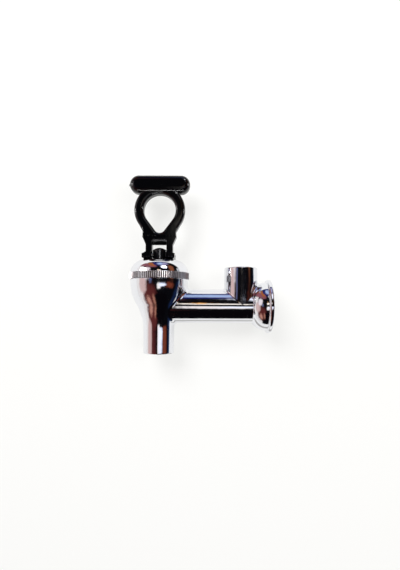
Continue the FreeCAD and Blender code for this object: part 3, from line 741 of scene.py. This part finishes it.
@dataclass
class Seals(SubAssembly):
    """The grommet in the boss and the gasket in the flange."""

    bore: float = 5.0
    rim: float = 6.55
    foot_step: float = 0.3
    lead_in: float = 0.7
    groove: float = 0.4
    ribs: int = 4
    gasket_bore: float = 7.62
    gasket_rim: float = 10.78
    gasket_thickness: float = 1.18
    gasket_sink: float = 0.02

    def build(self) -> None:
        """Moulds the grommet and cuts the gasket."""
        low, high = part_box("gauge_glass_seal")
        self.stand_for(self.grommet(low.z / MM, high.z / MM), "gauge_glass_seal", "tap", "silicone", SILICONE)
        rubber = MouldedRubber("cut_black_rubber", "#1b1b1c", 0.6, 0.0, 1.52)
        self.stand_for(self.gasket(), "inlet_gasket", "tap", "gasket", rubber)

    def grommet(self, low: float, high: float) -> bpy.types.Object:
        """Moulds the grommet, whose inner ribs grip the glass.

        Args:
            low: The level of its foot, in millimetres.
            high: The level of its top.

        Returns:
            The grommet.
        """
        corners = [(self.bore + self.foot_step, low, 0.1), (self.rim, low, 0.3), (self.rim, high, 0.45),
                   (self.bore + self.lead_in, high, 0.2)]
        pitch = (high - low) / self.ribs
        cut = 0.15 * pitch
        for rib in range(self.ribs, 0, -1):
            top = low + rib * pitch
            corners.append((self.bore, top - 0.25 * pitch, cut))
            if rib > 1:
                corners.append((self.bore + self.groove, top - 0.75 * pitch, cut))
        return turned("glass_grommet", rounded(corners), Axis.BOSS)

    def gasket(self) -> bpy.types.Object:
        """Cuts the flat gasket, its edges a little worn."""
        return turned("flange_gasket", rounded([
            (self.gasket_bore, -self.gasket_thickness, 0.1), (self.gasket_rim, -self.gasket_thickness, 0.1),
            (self.gasket_rim, -self.gasket_sink, 0.2), (self.gasket_bore, -self.gasket_sink, 0.2),
        ]), Axis.INLET)


@dataclass
class Table:
    """The white table the tap lies on, upright behind it here.

    The band is a darker stretch of it, a painted reflection that only the chrome mirrors, given by its left,
    right, lower and upper edges. The glow is the share of the table's look that no lamp or shadow changes.
    """

    clearance: float = 0.2 * MM
    size: float = 1.6
    # Painted reflection: the stretch of the table, in metres, that the chrome mirrors darker.
    band: tuple[float, float, float, float] = (-0.062, 0.06, -0.063, -0.037)
    lit_colour: str = "#f4f3f1"
    glow_colour: str = "#f7f7f5"
    painted_reflection_colour: str = "#8d8a86"
    glow: float = 0.8

    def build(self, low: Vector, high: Vector) -> bpy.types.Object:
        """Makes the table just behind the tap.

        Args:
            low: The object's lowest corner.
            high: The object's highest corner.

        Returns:
            The table, marked as stage.
        """
        level = high.y + self.clearance
        centre = (low + high) / 2
        half = self.size / 2
        mesh = bpy.data.meshes.new("table")
        corners = [(centre.x + x * half, level, centre.z + z * half) for x, z in CORNERS]
        mesh.from_pydata(corners, [], [(0, 1, 2, 3)])
        mesh.update()
        table = bpy.data.objects.new("table", mesh)
        bpy.context.scene.collection.objects.link(table)
        table.data.materials.append(self.finish())
        table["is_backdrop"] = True
        return table

    def in_painted_reflection(self, tree: bpy.types.NodeTree) -> bpy.types.NodeSocket:
        """Tells the table's darker band, a painted reflection, from the rest.

        Args:
            tree: The material's node tree.

        Returns:
            1 in the band and 0 elsewhere.
        """
        position = add_node(tree, "ShaderNodeNewGeometry").outputs["Position"]
        place = add_node(tree, "ShaderNodeSeparateXYZ", {}, {0: position})
        share: bpy.types.NodeSocket | float = 1.0
        left, right, bottom, top = self.band
        for way, low, high in (("X", left, right), ("Z", bottom, top)):
            for operation, limit in (("GREATER_THAN", low), ("LESS_THAN", high)):
                test = calculate(tree, operation, place.outputs[way], limit)
                share = calculate(tree, "MULTIPLY", share, test)
        return share

    def finish(self) -> bpy.types.Material:
        """Makes white melamine that shows its shadows, carries a painted reflection in its band, and is clear
        from behind.

        Returns:
            The table's material.
        """
        made = bpy.data.materials.new("white_melamine_table")
        made.use_nodes = True
        tree = made.node_tree
        tree.nodes.clear()
        rays = add_node(tree, "ShaderNodeLightPath").outputs
        side = add_node(tree, "ShaderNodeNewGeometry").outputs["Backfacing"]
        dull = add_node(tree, "ShaderNodeBsdfDiffuse", {}, {"Color": linear(self.lit_colour)})
        # Only glossy rays see the band darker, so it is a painted reflection.
        mirrored = calculate(tree, "MULTIPLY", rays["Is Glossy Ray"], self.in_painted_reflection(tree))
        colour = add_node(tree, "ShaderNodeMix", {"data_type": "RGBA"},
                          {"Factor": mirrored, "A": linear(self.glow_colour), "B": linear(self.painted_reflection_colour)})
        glow = add_node(tree, "ShaderNodeEmission", {}, {"Color": colour.outputs["Result"], "Strength": 1.0})
        seen = calculate(tree, "MAXIMUM", rays["Is Camera Ray"], rays["Is Glossy Ray"])
        seen = calculate(tree, "MAXIMUM", seen, rays["Is Transmission Ray"])
        share = calculate(tree, "MULTIPLY", seen, self.glow)
        face = add_node(tree, "ShaderNodeMixShader", {}, {0: share, 1: dull.outputs[0], 2: glow.outputs[0]})
        clear = add_node(tree, "ShaderNodeBsdfTransparent")
        both = add_node(tree, "ShaderNodeMixShader", {}, {0: side, 1: face.outputs[0], 2: clear.outputs[0]})
        add_node(tree, "ShaderNodeOutputMaterial", {}, {"Surface": both.outputs[0]})
        return made


@dataclass
class Card:
    """A flat piece of the room that the chrome mirrors, given by the edges that the tap sees it between.

    Attributes:
        left, right: Its sides, in degrees from the camera's side towards +X.
        bottom, top: Its lower and upper edge, in degrees towards +Z.
        colour: Its colour.
        strength: How bright it shines.
        soft: The share of its half size that its edge fades over.
        distance: How far from the tap it stands, in metres.
        ragged: How far its outline is pushed to and fro, as a share of its smaller half size.
        fold: The size of the folds that push it, in metres.
        corner: 2 makes it an ellipse, and more makes it squarer.
    """

    left: float
    right: float
    bottom: float
    top: float
    colour: str
    strength: float = 1.0
    soft: float = 0.4
    distance: float = 0.8
    ragged: float = 0.5
    fold: float = 0.12
    corner: float = 3.0

    def build(self, centre: Vector, number: int) -> bpy.types.Object:
        """Stands the card round the tap, facing it and out of the camera's sight.

        Args:
            centre: What the card faces.
            number: The card's number, for its name.

        Returns:
            The card, marked as stage.
        """
        across = self.distance * math.tan(math.radians((self.right - self.left) / 2))
        up = self.distance * math.tan(math.radians((self.top - self.bottom) / 2))
        grown = 1 + (self.soft + self.ragged) / 2
        mesh = bpy.data.meshes.new(f"card_{number}")
        corners = [(x * across * grown, y * up * grown, 0) for x, y in CORNERS]
        mesh.from_pydata(corners, [], [(0, 1, 2, 3)])
        mesh.update()
        card = bpy.data.objects.new(f"card_{number}", mesh)
        bpy.context.scene.collection.objects.link(card)
        turn = math.radians((self.left + self.right) / 2)
        rise = math.radians((self.bottom + self.top) / 2)
        way = Vector((math.sin(turn) * math.cos(rise), -math.cos(turn) * math.cos(rise), math.sin(rise)))
        facing = way.to_track_quat("Z", "Y").to_matrix().to_4x4()
        card.matrix_world = Matrix.Translation(centre + way * self.distance) @ facing
        card.visible_camera = False
        card.visible_diffuse = False
        card.visible_shadow = False
        card.data.materials.append(self.glow(card.name, across, up))
        card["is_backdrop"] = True
        return card

    def glow(self, name: str, across: float, up: float) -> bpy.types.Material:
        """Makes the card's light, which fades out towards its edges.

        The distance from the middle is measured as in a squared ellipse, whose outline is at 1, after the
        folds have pushed each spot to and fro.

        Args:
            name: The material's name.
            across: Half the card's width.
            up: Half the card's height.

        Returns:
            The card's material.
        """
        made = bpy.data.materials.new(name)
        made.use_nodes = True
        tree = made.node_tree
        tree.nodes.clear()
        spot = add_node(tree, "ShaderNodeTexCoord").outputs["Object"]
        folds = add_node(tree, "ShaderNodeTexNoise", {"noise_dimensions": "3D"},
                         {"Vector": spot, "Scale": 1 / self.fold, "Detail": 2.0})
        swing = add_node(tree, "ShaderNodeVectorMath", {"operation": "SUBTRACT"},
                         {0: folds.outputs["Color"], 1: (0.5, 0.5, 0.5)})
        push = add_node(tree, "ShaderNodeVectorMath", {"operation": "SCALE"},
                        {0: swing.outputs[0], "Scale": 2 * self.ragged * min(across, up)})
        bent = add_node(tree, "ShaderNodeVectorMath", {"operation": "ADD"}, {0: spot, 1: push.outputs[0]})
        place = add_node(tree, "ShaderNodeSeparateXYZ", {}, {0: bent.outputs[0]})
        away: bpy.types.NodeSocket | float = 0.0
        for way, half in (("X", across), ("Y", up)):
            part = calculate(tree, "DIVIDE", calculate(tree, "ABSOLUTE", place.outputs[way]), half)
            away = calculate(tree, "ADD", away, calculate(tree, "POWER", part, self.corner))
        away = calculate(tree, "POWER", away, 1 / self.corner)
        share = add_node(tree, "ShaderNodeMapRange", {"interpolation_type": "SMOOTHSTEP"},
                         {"Value": away, "From Min": 1 - self.soft / 2, "From Max": 1 + self.soft / 2,
                          "To Min": 1.0, "To Max": 0.0})
        clear = add_node(tree, "ShaderNodeBsdfTransparent")
        light = add_node(tree, "ShaderNodeEmission", {},
                         {"Color": linear(self.colour), "Strength": self.strength})
        both = add_node(tree, "ShaderNodeMixShader", {},
                        {0: share.outputs[0], 1: clear.outputs[0], 2: light.outputs[0]})
        add_node(tree, "ShaderNodeOutputMaterial", {}, {"Surface": both.outputs[0]})
        return made


@dataclass
class Room:
    """The room round the table: a plain white world to the eye, darker in reflections, and its cards."""

    mirrored_colour: str = "#0a0a0e"
    lighting_colour: str = "#6a6a6c"
    cards: list[Card] = field(default_factory=lambda: [
        # Bright wall to the left, and pink and brown things beside it
        Card(-104, -66, -72, 62, "#f6f1ee", 1.0, 0.3, 1.00, 0.3),
        Card(-78, -48, -24, 14, "#dcbcb8", 1.0, 0.9, 0.95),
        Card(-66, -13, -64, -4, "#5e2a29", 1.0, 0.8, 0.97),
        Card(-58, -44, -58, -34, "#c48d7c", 1.0, 1.2, 0.93, 1.2, 0.06),
        Card(-27, -18, -60, -34, "#a87260", 1.0, 1.2, 0.93, 1.2, 0.06),
        Card(-62, -34, 4, 32, "#f3e8ec", 1.05, 0.6, 0.94),
        Card(-35, -25, -2, 11, "#5b6286", 1.0, 0.8, 0.92),
        Card(-90, -22, 37, 60, "#8d5560", 1.0, 0.6, 0.96),
        Card(-60, -24, 44, 74, "#a8603c", 1.0, 0.7, 0.95),
        # Dark cloth below, and blue and brown things to the right
        Card(-12, 38, -76, -26, "#08060a", 1.0, 0.3, 0.91),
        Card(31, 62, -14, -1, "#7a3b2a", 1.0, 1.0, 0.90, 0.9, 0.06, 2.2),
        Card(72, 98, -58, 2, "#14213f", 1.0, 0.5, 0.92),
        Card(86, 104, -48, 8, "#9db0c8", 1.0, 0.6, 0.91),
        # Windows ahead, with a warm lamp between them
        Card(-4, 10, 7.5, 14.5, "#fff6ea", 1.3, 0.4, 0.86, 0.1, 0.12, 6.0),
        Card(-4, 10, -18, -3, "#fbf4f2", 1.1, 0.6, 0.86, 0.2, 0.12, 4.0),
        Card(1, 31, -12, -3, "#e6ecff", 1.4, 0.8, 0.84, 0.6, 0.08, 2.2),
        Card(-0.8, 1.0, 11, 20, "#f0a850", 1.5, 1.2, 0.83, 0.2, 0.12, 2.0),
        # Blue evening sky above, and the brown doorway to the right
        Card(-14, 24, 50, 96, "#1c2766", 1.0, 0.5, 0.90),
        Card(0, 13, 60, 80, "#a9c1ec", 1.05, 1.0, 0.85, 1.5, 0.03),
        Card(13, 33, 30, 52, "#eef1ff", 1.35, 0.8, 0.84, 0.5, 0.12, 2.2),
        Card(15, 42, 57, 80, "#a8a2c6", 1.0, 0.8, 0.86),
        Card(46, 64, 6, 50, "#8d5338", 1.0, 0.7, 0.88),
        Card(80, 90, 10, 26, "#cfd3d8", 1.0, 0.8, 0.86),
    ])

    def build(self, centre: Vector) -> None:
        """Sets the world and stands the cards.

        Args:
            centre: The middle of the tap.
        """
        world = bpy.data.worlds.new("room")
        bpy.context.scene.world = world
        world.use_nodes = True
        tree = world.node_tree
        tree.nodes.clear()
        rays = add_node(tree, "ShaderNodeLightPath").outputs
        dark, dim, white = (
            add_node(tree, "ShaderNodeBackground", {}, {"Color": linear(colour), "Strength": 1.0}).outputs[0]
            for colour in (self.mirrored_colour, self.lighting_colour, "#ffffff"))
        unseen = add_node(tree, "ShaderNodeMixShader", {}, {0: rays["Is Glossy Ray"], 1: dim, 2: dark})
        mixed = add_node(tree, "ShaderNodeMixShader", {},
                         {0: rays["Is Camera Ray"], 1: unseen.outputs[0], 2: white})
        add_node(tree, "ShaderNodeOutputWorld", {}, {"Surface": mixed.outputs[0]})
        for number, card in enumerate(self.cards):
            card.build(centre, number)


@dataclass
class Lamp:
    """A soft rectangular lamp.

    A lamp for only one node lights nothing else, and that node mirrors it. Any other lamp lights everything
    and no piece mirrors it, because the cards are what the pieces mirror.
    """

    name: str
    place: tuple[float, float, float]
    size: tuple[float, float]
    watts: float
    colour: str = "#ffffff"
    only: str = ""

    def build(self, target: Vector, nodes: dict[str, bpy.types.Object]) -> None:
        """Hangs the lamp and turns it to what it lights.

        Args:
            target: Where it points.
            nodes: The tap's nodes by name.
        """
        light = bpy.data.lights.new(self.name, "AREA")
        light.shape = "RECTANGLE"
        light.size, light.size_y = self.size
        light.energy = self.watts
        light.color = linear(self.colour)[:3]
        lamp = bpy.data.objects.new(self.name, light)
        lamp.location = self.place
        lamp.rotation_euler = (target - lamp.location).to_track_quat("-Z", "Y").to_euler()
        lamp.visible_glossy = bool(self.only)
        bpy.context.scene.collection.objects.link(lamp)
        if self.only:
            lit = bpy.data.collections.new(f"lit_by_{self.name}")
            lit.objects.link(nodes[self.only])
            lamp.light_linking.receiver_collection = lit


@dataclass
class Lighting:
    """Two lamps for everything, and lamps for the glints and sheens on single pieces round the handle."""

    lamps: list[Lamp] = field(default_factory=lambda: [
        Lamp("key_lamp", (-0.30, -0.55, 0.35), (0.35, 0.35), 6.0),
        Lamp("fill_lamp", (0.35, -0.50, 0.05), (0.45, 0.45), 3.0),
        Lamp("under_lamp", (0.0, -0.30, -0.45), (0.50, 0.02), 0.9, only="finger_ring"),
        Lamp("over_lamp", (0.12, -0.35, 0.42), (0.06, 0.03), 0.3, only="finger_ring"),
        Lamp("left_lamp", (-0.60, -0.20, 0.15), (0.03, 0.12), 0.6, only="finger_ring"),
        Lamp("right_lamp", (0.50, -0.12, 0.15), (0.02, 0.12), 0.4, only="finger_ring"),
        Lamp("fork_lamp", (-0.05, -0.30, -0.35), (0.40, 0.40), 2.2, "#c9bdc6", "cam_fork"),
        Lamp("stem_lamp", (0.04, -0.60, 0.10), (0.08, 0.40), 1.4, "#e8eaf0", "stem"),
        Lamp("cap_lamp", (0.20, -0.50, 0.45), (0.20, 0.20), 1.2, "#eef1ff", "bonnet"),
        Lamp("wall_lamp", (-0.60, -0.30, 0.15), (0.30, 0.30), 2.0, "#fff4ee", "bonnet"),
    ])

    def build(self, middle: Vector, nodes: dict[str, bpy.types.Object]) -> None:
        """Hangs the lamps, turned to the finger ring where they are for one piece.

        Args:
            middle: The middle of the tap.
            nodes: The tap's nodes by name.
        """
        low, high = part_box("finger_ring")
        for lamp in self.lamps:
            lamp.build((low + high) / 2 if lamp.only else middle, nodes)


@dataclass
class PhotoCamera:
    """The camera over the table, which looks down at it and a little towards the handle."""

    place: tuple[float, float, float] = (-0.0354, -0.1927, 0.0006)
    target: tuple[float, float, float] = (-0.0354, 0.0, 0.0107)
    lens_mm: float = 24.06
    sensor_mm: float = 36.0
    nearest: float = 0.01
    roll_degrees: float = 0.25

    def build(self) -> None:
        """Makes the camera and hands it to the scene."""
        data = bpy.data.cameras.new("camera")
        data.lens = self.lens_mm
        data.sensor_width = self.sensor_mm
        data.clip_start = self.nearest
        camera = bpy.data.objects.new("camera", data)
        camera.location = self.place
        ahead = Vector(self.target) - Vector(self.place)
        camera.rotation_euler = ahead.to_track_quat("-Z", "Y").to_euler()
        camera.rotation_euler.rotate_axis("Z", math.radians(self.roll_degrees))
        bpy.context.scene.collection.objects.link(camera)
        bpy.context.scene.camera = camera


def main() -> None:
    """Sets the camera, builds the tap's sub-assemblies in order and then the stage round them."""
    logging.basicConfig(level=logging.INFO, format="%(name)s: %(message)s")
    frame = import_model()
    cad_low, cad_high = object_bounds()
    PhotoCamera().build()
    nodes = frame["nodes"]
    for assembly in (Casting(nodes), Bonnet(nodes), Valve(nodes), Handle(nodes), Seals(nodes)):
        assembly.build()
        LOG.info("%s built", type(assembly).__name__)
    middle = (cad_low + cad_high) / 2
    Table().build(cad_low, cad_high)
    Room().build(middle)
    Lighting().build(middle, nodes)
    bpy.context.scene.view_settings.view_transform = "Standard"


if __name__ == "__main__":
    main()
